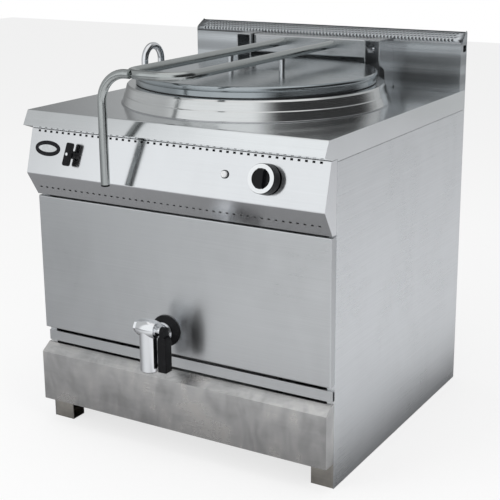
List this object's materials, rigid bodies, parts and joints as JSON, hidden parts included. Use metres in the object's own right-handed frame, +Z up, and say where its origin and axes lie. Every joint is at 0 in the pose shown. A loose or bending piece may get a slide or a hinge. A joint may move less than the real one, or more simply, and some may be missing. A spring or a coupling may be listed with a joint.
{
  "type": "steam jacketed kettle",
  "caption": "Free-standing gas boiling kettle: round steam-jacketed vessel in a square cabinet, hinged lid with pull handle, fill spout, control panel and front drain tap.",
  "frame": {"origin": "middle of the object's bounding box at floor level", "axes": "X to the right, Y from front to back, Z up"},
  "size_m": [0.85, 0.903, 1.012],
  "materials": {
    "satin_steel": "satin",
    "galvanised": "dull",
    "polished_steel": "fine brushed",
    "chrome": "polished",
    "bronze": "machined",
    "copper_pipe": "drawn",
    "dark_iron": "matt",
    "black_plastic": "fine grained",
    "white_plastic": "smooth",
    "bezel_plastic": "smooth",
    "seal_rubber": "matt"
  },
  "bodies": {
    "cabinet": {"back_panel": "galvanised", "base_tray": "galvanised", "burner": "dark_iron", "chamber_stand": "galvanised", "combustion_chamber": "galvanised", "control_panel": "satin_steel", "drain_pipe": "chrome", "drain_rosette": "chrome", "drain_strainer": "chrome", "faucet_base": "chrome", "faucet_nut": "chrome", "feet": "satin_steel", "flue_duct": "galvanised", "flue_grille": "polished_steel", "flue_housing": "polished_steel", "front_panel": "satin_steel", "gas_pipes": "dark_iron", "gas_valve": "bronze", "hinge_pins": "chrome", "hinge_post_left": "polished_steel", "hinge_post_right": "polished_steel", "igniter_bezel": "bezel_plastic", "igniter_body": "black_plastic", "inner_vessel": "polished_steel", "kettle_collar": "satin_steel", "kickplate": "satin_steel", "lower_rail": "satin_steel", "safety_valve": "bronze", "side_panel_left": "satin_steel", "side_panel_right": "satin_steel", "steam_jacket": "galvanised", "tap_body": "chrome", "water_pipes": "copper_pipe", "water_valve": "bronze", "worktop": "satin_steel"},
    "lid": {"lid_shell": "polished_steel", "lid_inner": "polished_steel", "lid_seal": "seal_rubber", "lid_frame": "polished_steel", "pull_handle": "polished_steel", "pull_handle_cap": "black_plastic", "lid_posts": "polished_steel", "hinge_beam": "polished_steel", "hinge_bushes": "bronze"},
    "tap_lever": {"tap_plug": "chrome", "tap_nut": "chrome", "tap_lever": "chrome", "tap_grip": "black_plastic"},
    "knob_spindle": {"knob_spindle": "chrome"},
    "knob": {"knob": "black_plastic", "knob_ring": "chrome"},
    "igniter_button": {"igniter_button": "white_plastic"},
    "water_handle": {"water_handle": "black_plastic"},
    "fill_spout": {"fill_spout": "chrome", "aerator": "chrome"}
  },
  "joints": [
    {"name": "lid_hinge", "type": "hinge", "parent": "cabinet", "child": "lid", "pos_m": [0, 0.3565, 0.961], "axis": [-1, 0, 0], "range_deg": [0, 85]},
    {"name": "tap_turn", "type": "hinge", "parent": "cabinet", "child": "tap_lever", "pos_m": [-0.033, -0.4275, 0.353], "axis": [-1, 0, 0], "range_deg": [0, 90]},
    {"name": "knob_push", "type": "slide", "parent": "cabinet", "child": "knob_spindle", "axis": [0, 0.9636, -0.2672], "range_m": [0, 0.004], "stiffness_N_per_m": 1500, "springref_m": -0.003},
    {"name": "knob_turn", "type": "hinge", "parent": "knob_spindle", "child": "knob", "pos_m": [0.27, -0.37596, 0.74704], "axis": [0, -0.9636, 0.2672], "range_deg": [0, 270]},
    {"name": "igniter_push", "type": "slide", "parent": "cabinet", "child": "igniter_button", "axis": [0, 0.9636, -0.2672], "range_m": [0, 0.003], "stiffness_N_per_m": 800, "springref_m": -0.002},
    {"name": "water_turn", "type": "hinge", "parent": "cabinet", "child": "water_handle", "pos_m": [-0.285, -0.37596, 0.74704], "axis": [0, -0.9636, 0.2672], "range_deg": [-90, 0]},
    {"name": "spout_swivel", "type": "hinge", "parent": "cabinet", "child": "fill_spout", "pos_m": [-0.365, 0.1265, 0.9], "axis": [0, 0, 1], "range_deg": [-110, 20]}
  ]
}
